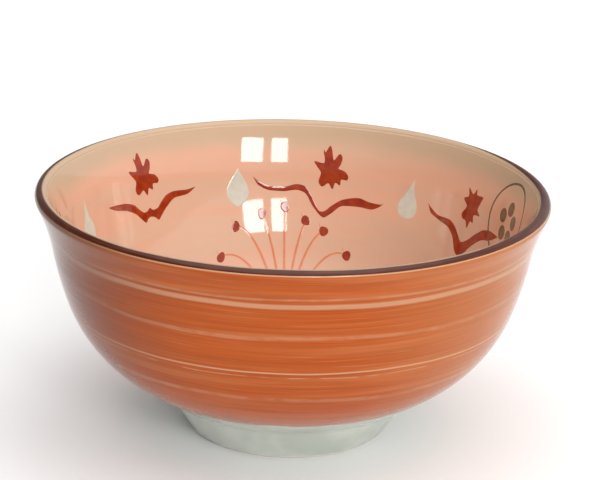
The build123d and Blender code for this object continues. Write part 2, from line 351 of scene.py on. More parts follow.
    def place(self, bearing: Array, run: Array, lift: Array) -> Array:
        """Points on the inside, raised off the glaze.

        Args:
            bearing: degrees clockwise from the back.
            run: distances down the inside.
            lift: distances off the glaze, into the bowl.

        Returns:
            Points (n, 3) in millimetres.
        """
        section, slopes = self.walk(run, Side.INSIDE)
        section = section + slope_normal(slopes) * np.asarray(lift)[:, None]
        radius, height = section.T
        angle = np.radians(bearing)
        return np.stack([radius * np.sin(angle), radius * np.cos(angle), height], axis=-1)


# ---------------------------------------------------------------- meshes
def ring_faces(rings: int, columns: int, closed: bool) -> Array:
    """Quads between neighbouring rings of equal size.

    Args:
        rings: how many rings there are, stored one after the other.
        columns: points in a ring.
        closed: whether the last ring joins the first.

    Returns:
        Vertex numbers, (m, 4).
    """
    ring = np.arange(rings if closed else rings - 1)[:, None] * columns
    following = (ring + columns) % (rings * columns)
    column = np.arange(columns)[None, :]
    beside = (column + 1) % columns
    corners = [ring + column, ring + beside, following + beside, following + column]
    spread = [np.broadcast_to(corner, (len(ring), columns)) for corner in corners]
    return np.stack(spread, axis=-1).reshape(-1, 4)


def fan_faces(pole: int, first: int, columns: int) -> Array:
    """Triangles between a pole and a ring.

    Args:
        pole: the pole's vertex number.
        first: the ring's first vertex number.
        columns: points in the ring.

    Returns:
        Vertex numbers, (columns, 3).
    """
    column = np.arange(columns)
    beside = (column + 1) % columns
    return np.stack([np.full(columns, pole), first + beside, first + column], axis=-1)


@dataclass
class Shell:
    """One closed surface: rings of points, with a pole past each end or joined end to end.

    Attributes hold a number for every vertex: the rings' points in order, and then the poles.
    """

    rings: Array
    poles: Array | None = None
    attributes: dict[str, Array] = field(default_factory=dict)

    def mesh_data(self) -> tuple[Array, list[Array]]:
        """Points and faces, turned outwards.

        The sign of the enclosed volume, the sum over triangles of a . (b x c) / 6, tells which
        way the faces look.

        Returns:
            Points (n, 3), and a list of face arrays.
        """
        count, columns = self.rings.shape[:2]
        points = self.rings.reshape(-1, 3)
        quads = ring_faces(count, columns, closed=self.poles is None)
        faces = [quads]
        triangles = np.concatenate([quads[:, [0, 1, 2]], quads[:, [0, 2, 3]]])
        if self.poles is not None:
            base = len(points)
            points = np.concatenate([points, self.poles])
            last_fan = fan_faces(base + 1, (count - 1) * columns, columns)[:, ::-1]
            fans = np.concatenate([fan_faces(base, 0, columns), last_fan])
            faces.append(fans)
            triangles = np.concatenate([triangles, fans])
        a, b, c = (points[triangles[:, k]] - points[0] for k in range(3))
        if np.einsum("ij,ij->", a, np.cross(b, c)) < 0:
            faces = [f[:, ::-1] for f in faces]
        return points, faces


def make_piece(
    name: str,
    shells: Sequence[Shell],
    material: bpy.types.Material,
    replaced: Sequence[str],
) -> bpy.types.Object:
    """Make one mesh from closed shells and let it stand for CAD nodes.

    Args:
        name: the object's name.
        shells: its closed surfaces, in millimetres.
        material: its finish.
        replaced: CAD nodes that it stands for.

    Returns:
        The object, riding on the bowl's one body.
    """
    points, faces, first = [], [], 0
    for shell in shells:
        shell_points, shell_faces = shell.mesh_data()
        points.append(shell_points)
        faces.extend(part + first for part in shell_faces)
        first += len(shell_points)
    mesh = bpy.data.meshes.new(name)
    vertices = (np.concatenate(points) * MM).tolist()
    mesh.from_pydata(vertices, [], [face for part in faces for face in part.tolist()])
    mesh.polygons.foreach_set("use_smooth", np.ones(len(mesh.polygons), dtype=bool))
    for key in shells[0].attributes:
        values = np.concatenate([shell.attributes[key] for shell in shells])
        layer = mesh.attributes.new(key, "FLOAT", "POINT")
        layer.data.foreach_set("value", values.astype(np.float32))
    mesh.materials.append(material)
    mesh.update()
    piece = bpy.data.objects.new(name, mesh)
    bpy.context.scene.collection.objects.link(piece)
    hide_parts(*replaced)
    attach(piece, BODY)
    log.info("%s: %d faces, stands for %s", name, len(mesh.polygons), ", ".join(replaced))
    return piece


def turned(section: Array, columns: int, relief: Callable[[Array, Array], Array] | None = None,
           runs: Array | None = None, normals: Array | None = None) -> Array:
    """Turn a section round the bowl's axis.

    A point at radius r and height z goes to (r sin b, r cos b, z) for each bearing b, after the
    relief has moved it along its normal.

    Args:
        section: (n, 2) radii and heights.
        columns: points round the bowl.
        relief: height of the surface as a function of run and bearing in radians, or None.
        runs: run of each section point, for the relief.
        normals: (n, 2) outward normals of the section, for the relief.

    Returns:
        Rings, (n, columns, 3).
    """
    bearing = np.linspace(0.0, 2 * np.pi, columns, endpoint=False)[None, :]
    radius = np.broadcast_to(section[:, :1], (len(section), columns)).copy()
    height = np.broadcast_to(section[:, 1:], (len(section), columns)).copy()
    if relief is not None:
        rise = relief(runs[:, None], bearing)
        radius += rise * normals[:, :1]
        height += rise * normals[:, 1:]
    return np.stack([radius * np.sin(bearing), radius * np.cos(bearing), height], axis=-1)


# ---------------------------------------------------------------- node helpers
def linear(colour: str) -> Rgba:
    """Turn an sRGB colour into a linear one, by the sRGB curve.

    Args:
        colour: six hex digits, such as "b8643a".

    Returns:
        Linear red, green and blue, and full alpha.
    """
    channels = np.array([int(colour[i : i + 2], 16) for i in (0, 2, 4)]) / 255.0
    curve = ((channels + 0.055) / 1.055) ** 2.4
    scene_linear = np.where(channels <= 0.04045, channels / 12.92, curve)
    return (*(float(v) for v in scene_linear), 1.0)


def add_node(
    tree: Tree,
    kind: str,
    settings: dict[str, object] | None = None,
    inputs: dict[int | str, object] | None = None,
) -> bpy.types.Node:
    """Add a node, set its properties, and fill or link its inputs.

    Args:
        tree: the material's node tree.
        kind: the node's type.
        settings: properties by name.
        inputs: values or output sockets, by the input's number or name.

    Returns:
        The node.
    """
    node = tree.nodes.new(kind)
    for key, value in (settings or {}).items():
        setattr(node, key, value)
    for key, value in (inputs or {}).items():
        if isinstance(value, Socket):
            tree.links.new(value, node.inputs[key])
        else:
            node.inputs[key].default_value = value
    return node


def blended(tree: Tree, share: Socket, low: Socket | Rgba, high: Socket | Rgba) -> Socket:
    """Colour that goes from low to high as the share goes from 0 to 1."""
    inputs = {0: share, 6: low, 7: high}
    return add_node(tree, "ShaderNodeMix", {"data_type": "RGBA"}, inputs).outputs[2]


def eased(tree: Tree, value: Socket, span: Span, top: float = 1.0, bottom: float = 0.0) -> Socket:
    """Ease a number along a cubic.

    Args:
        tree: the material's node tree.
        value: the number to ease.
        span: the values that give the bottom and the top.
        top: result at the span's end.
        bottom: result at the span's start.

    Returns:
        The eased number.
    """
    settings = {"interpolation_type": "SMOOTHSTEP"}
    inputs = {0: value, 1: span[0], 2: span[1], 3: bottom, 4: top}
    return add_node(tree, "ShaderNodeMapRange", settings, inputs).outputs[0]


def combined(tree: Tree, operation: str, a: Socket, b: Socket | float = 0.0) -> Socket:
    """Arithmetic on two numbers or sockets."""
    return add_node(tree, "ShaderNodeMath", {"operation": operation}, {0: a, 1: b}).outputs[0]


def swing(tree: Tree, noise: Socket, width: float) -> Socket:
    """Number that a noise of mean 0.5 moves to either side of 0: (noise - 0.5) x width."""
    return combined(tree, "MULTIPLY", combined(tree, "SUBTRACT", noise, 0.5), width)


def measured(tree: Tree, attribute: str) -> Socket:
    """One of the numbers stored on the piece's vertices, in millimetres."""
    return add_node(tree, "ShaderNodeAttribute", {"attribute_name": attribute}).outputs["Fac"]


def sideways(tree: Tree) -> Socket:
    """Distance to the right of the bowl's axis.

    Args:
        tree: the material's node tree.

    Returns:
        Millimetres, negative to the left.
    """
    place = add_node(tree, "ShaderNodeTexCoord").outputs["Object"]
    axes = add_node(tree, "ShaderNodeSeparateXYZ", inputs={0: place})
    return combined(tree, "DIVIDE", axes.outputs[0], MM)


@dataclass(frozen=True)
class Streaks:
    """Streaks of a turning brush: length round the bowl and width down the wall, in millimetres.

    Detail is the octaves of finer noise, and shift moves the pattern down the wall, in widths.
    """

    along: float
    across: float
    detail: float = 2.0
    shift: float = 0.0


def brush_streaks(tree: Tree, streaks: Streaks) -> Socket:
    """Noise drawn out round the bowl, as a turning brush leaves it.

    The noise is read at (x / along, y / along, run / across), so a patch is about one "along"
    long round the bowl and one "across" wide down the wall.

    Args:
        tree: the material's node tree.
        streaks: the streaks' size.

    Returns:
        The noise, from 0 to 1.
    """
    place = add_node(tree, "ShaderNodeTexCoord").outputs["Object"]
    axes = add_node(tree, "ShaderNodeSeparateXYZ", inputs={0: place})
    down = combined(tree, "DIVIDE", measured(tree, "run"), streaks.across)
    stretched = {
        0: combined(tree, "DIVIDE", axes.outputs[0], streaks.along * MM),
        1: combined(tree, "DIVIDE", axes.outputs[1], streaks.along * MM),
        2: combined(tree, "ADD", down, streaks.shift),
    }
    vector = add_node(tree, "ShaderNodeCombineXYZ", inputs=stretched).outputs[0]
    inputs = {"Vector": vector, "Scale": 1.0, "Detail": streaks.detail, "Roughness": 0.55}
    return add_node(tree, "ShaderNodeTexNoise", inputs=inputs).outputs[0]


def mottle(tree: Tree, size: float, detail: float = 2.0) -> Socket:
    """Even noise.

    Args:
        tree: the material's node tree.
        size: width of a patch, in millimetres.
        detail: octaves of finer noise.

    Returns:
        The noise, from 0 to 1.
    """
    place = add_node(tree, "ShaderNodeTexCoord").outputs["Object"]
    inputs = {"Vector": place, "Scale": 1.0 / (size * MM), "Detail": detail}
    return add_node(tree, "ShaderNodeTexNoise", inputs=inputs).outputs[0]


def new_material(name: str) -> tuple[bpy.types.Material, Tree, bpy.types.Node]:
    """Make an empty node material.

    Args:
        name: the material's name.

    Returns:
        The material, its tree and its Principled shader.
    """
    material = bpy.data.materials.new(name)
    material.use_nodes = True
    tree = material.node_tree
    tree.nodes.clear()
    shader = add_node(tree, "ShaderNodeBsdfPrincipled")
    add_node(tree, "ShaderNodeOutputMaterial", inputs={0: shader.outputs[0]})
    return material, tree, shader


def add_bump(tree: Tree, shader: bpy.types.Node, height: Socket, relief: float,
             strength: float = 1.0) -> None:
    """Raise a shader's surface by a height.

    Args:
        tree: the material's node tree.
        shader: its Principled shader.
        height: the height, from 0 to 1.
        relief: what a height of 1 stands for, in millimetres.
        strength: share of the relief that shows.
    """
    inputs = {"Strength": strength, "Distance": relief * MM, "Height": height}
    bump = add_node(tree, "ShaderNodeBump", inputs=inputs)
    tree.links.new(bump.outputs[0], shader.inputs["Normal"])


# ---------------------------------------------------------------- finishes
@dataclass(frozen=True)
class GlassyGlaze:
    """Surface of a feldspar glaze fired to a glass: sharp reflections, faintly wavy.

    Its waves are "wave" millimetres long and "relief" millimetres high.
    """

    roughness: float = 0.06
    ior: float = 1.52
    relief: float = 0.01
    wave: float = 14.0

    def finish(self, name: str, colour: Callable[[Tree], Socket],
               height: Callable[[Tree], Socket] | None = None) -> bpy.types.Material:
        """Make a glazed material.

        Args:
            name: the material's name.
            colour: adds the colour's nodes and returns their socket.
            height: adds the relief's nodes and returns their socket, or None for even waves.

        Returns:
            The material.
        """
        material, tree, shader = new_material(name)
        tree.links.new(colour(tree), shader.inputs["Base Color"])
        shader.inputs["Roughness"].default_value = self.roughness
        shader.inputs["IOR"].default_value = self.ior
        waves = mottle(tree, self.wave, detail=1.0) if height is None else height(tree)
        add_bump(tree, shader, waves, self.relief)
        return material


@dataclass(frozen=True)
class PeachGlaze:
    """Peach underglaze wash under clear glaze: warm, cloudy, in soft turned streaks.

    It is greyer and paler in a strip under the lip, where the wash was wiped off, and that strip
    is also darkened a little as painted shade.
    """

    peach: str = "dba88c"
    sandy: str = "d4ac91"
    rosy: str = "d6a189"
    # the strip under the lip: the wiped wash, also darkened as painted shade
    wiped_and_shaded_lip_strip: str = "bfa385"
    clouds: Streaks = Streaks(along=70.0, across=9.0)
    cloud_span: Span = (0.38, 0.62)
    blushes: Streaks = Streaks(along=45.0, across=4.0, shift=9.0)
    blush_span: Span = (0.50, 0.76)
    blush_strength: float = 0.22
    strip_edge: Streaks = Streaks(along=30.0, across=40.0, shift=3.0)
    strip_wander: float = 9.0
    strip_span: Span = (9.0, 2.0)
    strip_strength: float = 0.9
    surface: GlassyGlaze = GlassyGlaze(roughness=0.05, relief=0.012)

    def colour(self, tree: Tree) -> Socket:
        """Colour of the wash, which the painted motifs also fade into at their edges.

        Args:
            tree: the material's node tree.

        Returns:
            The colour's socket.
        """
        cloud = eased(tree, brush_streaks(tree, self.clouds), self.cloud_span)
        wash = blended(tree, cloud, linear(self.peach), linear(self.sandy))
        blush = brush_streaks(tree, self.blushes)
        blush = eased(tree, blush, self.blush_span, self.blush_strength)
        wash = blended(tree, blush, wash, linear(self.rosy))
        # strip under the lip, where the wash was wiped off and darkened as painted shade
        wander = swing(tree, brush_streaks(tree, self.strip_edge), self.strip_wander)
        edge = combined(tree, "ADD", measured(tree, "run"), wander)
        strip = eased(tree, edge, self.strip_span, self.strip_strength)
        return blended(tree, strip, wash, linear(self.wiped_and_shaded_lip_strip))

    def build(self) -> bpy.types.Material:
        """Make the material of the bowl's inside."""
        return self.surface.finish("peach_washed_clear_glaze", self.colour)


@dataclass(frozen=True)
class CeladonGlaze:
    """Clear glaze over white porcelain, faintly grey-green where it lies thick."""

    thin: str = "c6cac1"
    thick: str = "b4bab0"
    pool_size: float = 11.0
    pool_span: Span = (0.35, 0.65)
    surface: GlassyGlaze = GlassyGlaze(roughness=0.08, ior=1.45, relief=0.008, wave=9.0)

    def colour(self, tree: Tree) -> Socket:
        """Colour of the clear glaze over bare porcelain."""
        pooled = eased(tree, mottle(tree, self.pool_size), self.pool_span)
        return blended(tree, pooled, linear(self.thin), linear(self.thick))

    def build(self, name: str, slip: "BrushedOrangeGlaze | None" = None) -> bpy.types.Material:
        """Make the material of the foot or the recess.

        Args:
            name: the material's name.
            slip: the orange slip whose feathered edge ends on this glaze, or None.

        Returns:
            The material.
        """
        if slip is None:
            return self.surface.finish(name, self.colour)
        return self.surface.finish(name, lambda tree: slip.colour(tree, self))


@dataclass(frozen=True)
class PaleLine:
    """A line round the bowl where the brush left the colour thin.

    Its run, half width, softness and wander are in millimetres. Broken is how much of its
    strength it loses in its gaps.
    """

    run: float
    half_width: float
    softness: float
    strength: float
    wander: float
    broken: float = 0.0


@dataclass(frozen=True)
class BrushedOrangeGlaze:
    """Iron-orange slip brushed on a turning wheel, under clear glaze.

    The eye gets fine level streaks, a few pale lines where the brush left the slip thin, painted
    shade that browns the left side, painted light that makes the right side sandier, and a
    feathered lower edge where the slip runs out over the pale glaze. The streaks are drawn a
    little coarser than a brush's hairs.
    """

    deep: str = "9d4205"
    bright: str = "ad4d08"
    pale: str = "bc7444"
    cream: str = "cba684"
    rose: str = "b0674a"
    # painted shade: the brown that the left side is darkened towards
    painted_shade_brown: str = "52260e"
    # painted light: the sandy orange that the right side is lightened towards
    sandy: str = "b98a58"
    fine: Streaks = Streaks(along=42.0, across=0.6, detail=3.0)
    fine_span: Span = (0.34, 0.66)
    broad: Streaks = Streaks(along=80.0, across=3.2, shift=5.0)
    broad_span: Span = (0.45, 0.75)
    broad_strength: float = 0.40
    scratches: Streaks = Streaks(along=24.0, across=0.4, shift=17.0)
    scratch_span: Span = (0.60, 0.72)
    scratch_strength: float = 0.35
    lines: tuple[PaleLine, ...] = (
        PaleLine(-1.42, half_width=0.18, softness=0.14, strength=0.65, wander=0.04),
        PaleLine(6.7, half_width=0.20, softness=0.45, strength=0.30, wander=0.3, broken=0.4),
        PaleLine(9.0, half_width=0.70, softness=0.45, strength=0.50, wander=0.3),
        PaleLine(19.2, half_width=0.35, softness=0.60, strength=0.24, wander=0.6, broken=0.5),
        PaleLine(30.7, half_width=0.20, softness=0.22, strength=0.62, wander=0.25),
        PaleLine(32.3, half_width=0.12, softness=0.20, strength=0.35, wander=0.3, broken=0.9),
        PaleLine(41.6, half_width=0.50, softness=0.75, strength=0.22, wander=0.6, broken=0.6),
    )
    line_core: float = 0.6
    line_drift: Streaks = Streaks(along=34.0, across=60.0)
    drift_gain: float = 4.0
    line_gaps: Streaks = Streaks(along=7.0, across=3.0)
    gap_span: Span = (0.38, 0.55)
    ragged: Streaks = Streaks(along=16.0, across=3.0, detail=3.0, shift=29.0)
    ragged_width: float = 5.0
    rose_run: float = 46.0
    rose_strength: float = 0.65
    feather_run: float = 62.0
    feather_width: float = 1.2
    # painted shade on the left side: where it grows, in millimetres across the bowl, and how
    # strong it gets
    painted_shade_span: Span = (-22.0, -76.0)
    painted_shade_strength: float = 0.85
    # painted light on the right side: where it grows, in millimetres across the bowl, and how
    # strong it gets
    painted_light_span: Span = (10.0, 76.0)
    painted_light_strength: float = 0.4
    surface: GlassyGlaze = GlassyGlaze(roughness=0.12, ior=1.34, relief=0.003)

    def line_mask(self, tree: Tree, run: Socket, line: PaleLine) -> Socket:
        """How much a pale line shows at a place.

        Args:
            tree: the material's node tree.
            run: the run's socket.
            line: the line.

        Returns:
            A number from 0, off the line, to the line's strength.
        """
        drift = brush_streaks(tree, replace(self.line_drift, shift=line.run))
        drift = swing(tree, drift, self.drift_gain * line.wander)
        off = combined(tree, "SUBTRACT", combined(tree, "ADD", run, drift), line.run)
        off = combined(tree, "ABSOLUTE", off)
        flank = (line.half_width + line.softness, line.half_width * self.line_core)
        mask = eased(tree, off, flank, line.strength)
        if line.broken:
            gaps = brush_streaks(tree, replace(self.line_gaps, shift=line.run * 2))
            gaps = eased(tree, gaps, self.gap_span, bottom=1.0 - line.broken)
            mask = combined(tree, "MULTIPLY", mask, gaps)
        return mask

    def colour(self, tree: Tree, underneath: CeladonGlaze) -> Socket:
        """Colour of the slip, down to where it runs out.

        Args:
            tree: the material's node tree.
            underneath: the pale glaze that shows past the slip's feathered edge.

        Returns:
            The colour's socket.
        """
        run = measured(tree, "run")
        fine = eased(tree, brush_streaks(tree, self.fine), self.fine_span)
        colour = blended(tree, fine, linear(self.deep), linear(self.bright))
        broad = brush_streaks(tree, self.broad)
        broad = eased(tree, broad, self.broad_span, self.broad_strength)
        colour = blended(tree, broad, colour, linear(self.pale))
        scratches = brush_streaks(tree, self.scratches)
        scratches = eased(tree, scratches, self.scratch_span, self.scratch_strength)
        colour = blended(tree, scratches, colour, linear(self.pale))
        for line in self.lines:
            colour = blended(tree, self.line_mask(tree, run, line), colour, linear(self.cream))
        ragged = swing(tree, brush_streaks(tree, self.ragged), self.ragged_width)
        low = combined(tree, "ADD", run, ragged)
        thinning = eased(tree, low, (self.rose_run, self.feather_run), self.rose_strength)
        colour = blended(tree, thinning, colour, linear(self.rose))
        across = sideways(tree)
        # painted shade: the left side is darkened towards a brown
        painted_shade = eased(tree, across, self.painted_shade_span, self.painted_shade_strength)
        colour = blended(tree, painted_shade, colour, linear(self.painted_shade_brown))
        # painted light: the right side is lightened towards a sandy orange
        painted_light = eased(tree, across, self.painted_light_span, self.painted_light_strength)
        colour = blended(tree, painted_light, colour, linear(self.sandy))
        bare = eased(tree, low, (self.feather_run - self.feather_width, self.feather_run))
        return blended(tree, bare, colour, underneath.colour(tree))

    def build(self, underneath: CeladonGlaze) -> bpy.types.Material:
        """Make the material of the bowl's outside.

        Args:
            underneath: the pale glaze that the slip lies on.

        Returns:
            The material.
        """
        return self.surface.finish(
            "brushed_orange_slip_glaze",
            lambda tree: self.colour(tree, underneath),
            lambda tree: brush_streaks(tree, self.fine),
        )


@dataclass(frozen=True)
class IronBand:
    """Iron wash on the lip, fired to a dark brown that ends unevenly on the lip's inner half.

    Towards the bowl's two sides the wash reaches further in. Each of "ends" is a side, -1 or 1,
    and how many millimetres further.
    """

    brown: str = "471a08"
    thin_brown: str = "6a3018"
    streaks: Streaks = Streaks(along=9.0, across=0.8)
    streak_span: Span = (0.45, 0.7)
    streak_strength: float = 0.5
    inner_run: float = -3.45
    softness: float = 0.35
    edge: Streaks = Streaks(along=22.0, across=30.0)
    edge_wander: float = 0.6
    end_span: Span = (45.0, 72.0)
    ends: tuple[tuple[float, float], ...] = ((1.0, 1.6), (-1.0, 0.6))
    surface: GlassyGlaze = GlassyGlaze(roughness=0.08, ior=1.40, relief=0.006, wave=8.0)

    def colour(self, tree: Tree, wash: PeachGlaze) -> Socket:
        """Colour over the lip. Its runs are negative, counted back over the lip's round.

        Args:
            tree: the material's node tree.
            wash: the glaze that shows past the iron wash, on the lip's inner half.

        Returns:
            The colour's socket.
        """
        wander = swing(tree, brush_streaks(tree, self.edge), self.edge_wander)
        run = combined(tree, "ADD", measured(tree, "run"), wander)
        across = sideways(tree)
        for side, extra in self.ends:
            span = (side * self.end_span[0], side * self.end_span[1])
            run = combined(tree, "ADD", run, eased(tree, across, span, extra))
        fine = brush_streaks(tree, self.streaks)
        fine = eased(tree, fine, self.streak_span, self.streak_strength)
        colour = blended(tree, fine, linear(self.brown), linear(self.thin_brown))
        past = eased(tree, run, (self.inner_run + self.softness, self.inner_run - self.softness))
        return blended(tree, past, colour, wash.colour(tree))

    def build(self, wash: PeachGlaze) -> bpy.types.Material:
        """Make the lip's material, over the given wash."""
        return self.surface.finish("iron_brown_lip_wash", lambda tree: self.colour(tree, wash))


@dataclass(frozen=True)
class BarePorcelain:
    """Unglazed fired porcelain: white, matt and as fine-grained as sharkskin (about 0.3 mm)."""

    white: str = "e4e0d8"
    toasted: str = "cdbfae"
    flash_size: float = 6.0
    flash_span: Span = (0.45, 0.75)
    flash_strength: float = 0.6
    roughness: float = 0.62
    grain: float = 0.3
    grain_relief: float = 0.05
    grain_strength: float = 0.4

    def build(self) -> bpy.types.Material:
        """Make the material of the clay.

        Returns:
            The material.
        """
        material, tree, shader = new_material("bare_fired_porcelain")
        flash = mottle(tree, self.flash_size)
        flash = eased(tree, flash, self.flash_span, self.flash_strength)
        colour = blended(tree, flash, linear(self.white), linear(self.toasted))
        tree.links.new(colour, shader.inputs["Base Color"])
        shader.inputs["Roughness"].default_value = self.roughness
        add_bump(tree, shader, mottle(tree, self.grain), self.grain_relief, self.grain_strength)
        return material


@dataclass(frozen=True)
class PaintedColour:
    """Underglaze colour brushed on the inside: densest in the stroke, soft at its edge.

    Cover is its share of the colour in the stroke, reached "fade" millimetres in from the edge.
    """

    name: str
    dense: str
    thin: str
    cover: float = 1.0
    fade: float = 0.32
    bare_edge: float = 0.04
    pool_size: float = 2.2
    pool_span: Span = (0.35, 0.68)
    ragged_size: float = 0.5
    ragged_width: float = 0.35
    surface: GlassyGlaze = GlassyGlaze(roughness=0.05, relief=0.012)

    def colour(self, tree: Tree, wash: PeachGlaze) -> Socket:
        """Colour of the paint.

        Args:
            tree: the material's node tree.
            wash: the glaze that the paint fades into at its edge.

        Returns:
            The colour's socket.
        """
        load = eased(tree, mottle(tree, self.pool_size, detail=3.0), self.pool_span)
        paint = blended(tree, load, linear(self.dense), linear(self.thin))
        uneven = swing(tree, mottle(tree, self.ragged_size), self.ragged_width)
        inside = combined(tree, "ADD", measured(tree, "edge"), uneven)
        cover = eased(tree, inside, (self.bare_edge, self.fade), self.cover)
        return blended(tree, cover, wash.colour(tree), paint)

    def build(self, wash: PeachGlaze) -> bpy.types.Material:
        """Make the paint's material, over the given wash."""
        return self.surface.finish(self.name, lambda tree: self.colour(tree, wash))


PAINTS = (
    PaintedColour("red_underglaze", "8c2607", "9e360e", fade=0.18),
    PaintedColour("milky_white_slip", "c6c5b6", "cdccbe", cover=0.97, fade=0.4),
    PaintedColour("orange_underglaze", "cf6c3c", "d47c50", cover=0.85, fade=0.4),
    PaintedColour("olive_brown_print", "4a3a1e", "5c4a2a", cover=0.9, fade=0.15),
)


# ---------------------------------------------------------------- glaze coats
@dataclass
class Coats:
    """The glazed skins: the orange outside, the peach inside, the lip, the foot and the recess."""

    wall: WallLine
    columns: int = 512
    wall_rows: int = 170
    inside_rows: int = 190
    lip_rows: int = 41
    side_rows: int = 110
    ridge: float = 0.022
    ridge_waves: tuple[tuple[float, int, float], ...] = (
        (5.2, 1, 1.1), (3.1, 2, 0.7), (1.9, 3, 2.0), (1.3, 1, 1.4),
    )
    ridge_fade: float = 4.0
    crease_blend: float = 0.9
    corner_radius: float = 2.2
    wiped_round: float = 0.3

    def outer_run_end(self) -> float:
        """Run at which the orange coat stops."""
        return self.wall.length(Side.OUTSIDE, 3)

    def brush_ridges(self, run: Array, bearing: Array) -> Array:
        """Relief of the brushed outside.

        It is a sum of sines down the wall whose phases drift slowly round the bowl by whole
        numbers of waves, so that it closes on itself. It fades to nothing at the coat's two ends.
        Each of "ridge_waves" is a wave's length, its turns round the bowl and its drift.

        Args:
            run: runs in millimetres.
            bearing: bearings in radians.

        Returns:
            Heights in millimetres.
        """
        total = sum(
            np.sin(2 * np.pi * run / length + drift * np.sin(turns * bearing + length))
            for length, turns, drift in self.ridge_waves
        )
        start, end, width = self.wall.straight, self.outer_run_end(), self.ridge_fade
        fade = smooth_step(start, start + width, run) * smooth_step(end, end - width, run)
        return self.ridge * fade * total / len(self.ridge_waves)

    def strip_shell(self, front: Array, normals: Array, runs: Array, back: Array,
                    relief: Callable[[Array, Array], Array] | None = None) -> Shell:
        """Close a turned strip: its visible front, and its back against the clay.

        Args:
            front: (n, 2) visible section.
            normals: (n, 2) outward normals of the front.
            runs: run of each front point.
            back: (m, 2) section of the back, from the front's end to its start.
            relief: relief of the front, or None.

        Returns:
            The closed shell, with its runs.
        """
        back_runs = np.linspace(runs[-1], runs[0], len(back))
        rings = np.concatenate([
            turned(front, self.columns, relief, runs, normals),
            turned(back, self.columns),
        ])
        along = np.repeat(np.concatenate([runs, back_runs]), self.columns)
        return Shell(rings, None, {"run": along})

    def build_outside(self, material: bpy.types.Material) -> None:
        """Make the brushed orange coat.

        The section follows the outside from the iron band to the end of the belly, and comes
        back one glaze thickness inside it.

        Args:
            material: the coat's finish.
        """
        over_lip = np.linspace(self.wall.band_run, 0.0, 12)[:-1]
        down_wall = np.linspace(0.0, self.outer_run_end(), self.wall_rows)
        runs = np.concatenate([over_lip, down_wall])
        front, slopes = self.wall.walk(runs, Side.OUTSIDE)
        back_runs = np.linspace(runs[-1], runs[0], 24)
        back, back_slopes = self.wall.walk(back_runs, Side.OUTSIDE)
        back = back + slope_normal(back_slopes) * self.wall.glaze
        shell = self.strip_shell(front, -slope_normal(slopes), runs, back, self.brush_ridges)
        make_piece("brushed_orange_coat", [shell], material, ["outer_glaze"])

    def build_inside(self, material: bpy.types.Material) -> None:
        """Make the peach coat, from the lip's inner edge to the middle of the floor.

        Args:
            material: the coat's finish.
        """
        total = self.wall.length(Side.INSIDE, 4)
        runs = np.linspace(total, 0.0, self.inside_rows)[1:]
        front, _ = self.wall.walk(runs, Side.INSIDE)
        back_runs = np.linspace(0.0, total, 40)[:-1]
        back, back_slopes = self.wall.walk(back_runs, Side.INSIDE)
        back = back - slope_normal(back_slopes) * self.wall.glaze
        floor, _ = self.wall.walk(np.array([total]), Side.INSIDE)
        middle = float(floor[0, 1])
        poles = np.array([[0.0, 0.0, middle], [0.0, 0.0, middle - self.wall.glaze]])
        rings = turned(np.concatenate([front, back]), self.columns)
        along = np.repeat(np.concatenate([runs, back_runs]), self.columns)
        shell = Shell(rings, poles, {"run": np.concatenate([along, [total, total]])})
        make_piece("peach_washed_inside", [shell], material, ["inner_glaze"])

    def build_lip(self, material: bpy.types.Material) -> None:
        """Make the lip's skin, from the iron band's outer edge over the top to the inside.

        Args:
            material: the skin's finish.
        """
        runs = np.linspace(self.wall.band_run, -self.wall.lip_round * np.pi, self.lip_rows)
        front, slopes = self.wall.walk(runs, Side.OUTSIDE)
        normals = -slope_normal(slopes)
        back = (front - normals * self.wall.glaze)[::-2]
        shell = self.strip_shell(front, normals, runs, back)
        make_piece("iron_washed_lip", [shell], material, ["rim_band"])

    def build_foot(self, material: bpy.types.Material) -> None:
        """Make the pale coat under the belly and down the foot's side.

        The section's radius at a height is the larger of the haunch's and the foot's side's,
        blended over a short width where they cross, as glaze pools in the crease.

        Args:
            material: the coat's finish.
        """
        wall = self.wall
        end = wall.length(Side.OUTSIDE, 4)
        haunch, _ = wall.walk(np.linspace(self.outer_run_end(), end, 200), Side.OUTSIDE)
        low = wall.bare_height + self.wiped_round
        heights = np.linspace(wall.coat_edge_height, low, self.side_rows)
        above = np.interp(heights, haunch[::-1, 1], haunch[::-1, 0], left=0.0)
        side = wall.foot_radius + wall.foot_proud + wall.foot_run * heights
        near = np.maximum(self.crease_blend - np.abs(above - side), 0.0) / self.crease_blend
        radii = np.maximum(above, side) + near**2 * self.crease_blend / 4
        front = np.stack([radii, heights], axis=-1)
        turn = np.linspace(0.0, np.pi / 2, 6)[1:]
        tuck = self.wiped_round * np.stack([np.cos(turn) - 1.0, -np.sin(turn)], axis=-1)
        front = np.concatenate([front, front[-1] + tuck])
        step = np.gradient(front, axis=0)
        normals = np.stack([-step[:, 1], step[:, 0]], axis=-1)
        normals /= np.linalg.norm(normals, axis=1, keepdims=True)
        travelled = np.cumsum(np.linalg.norm(np.diff(front, axis=0), axis=1))
        runs = self.outer_run_end() + np.concatenate([[0.0], travelled])
        back = (front - normals * wall.glaze)[:-5][::-3]
        shell = self.strip_shell(front, normals, runs, back)
        make_piece("celadon_foot_coat", [shell], material, ["foot_glaze"])

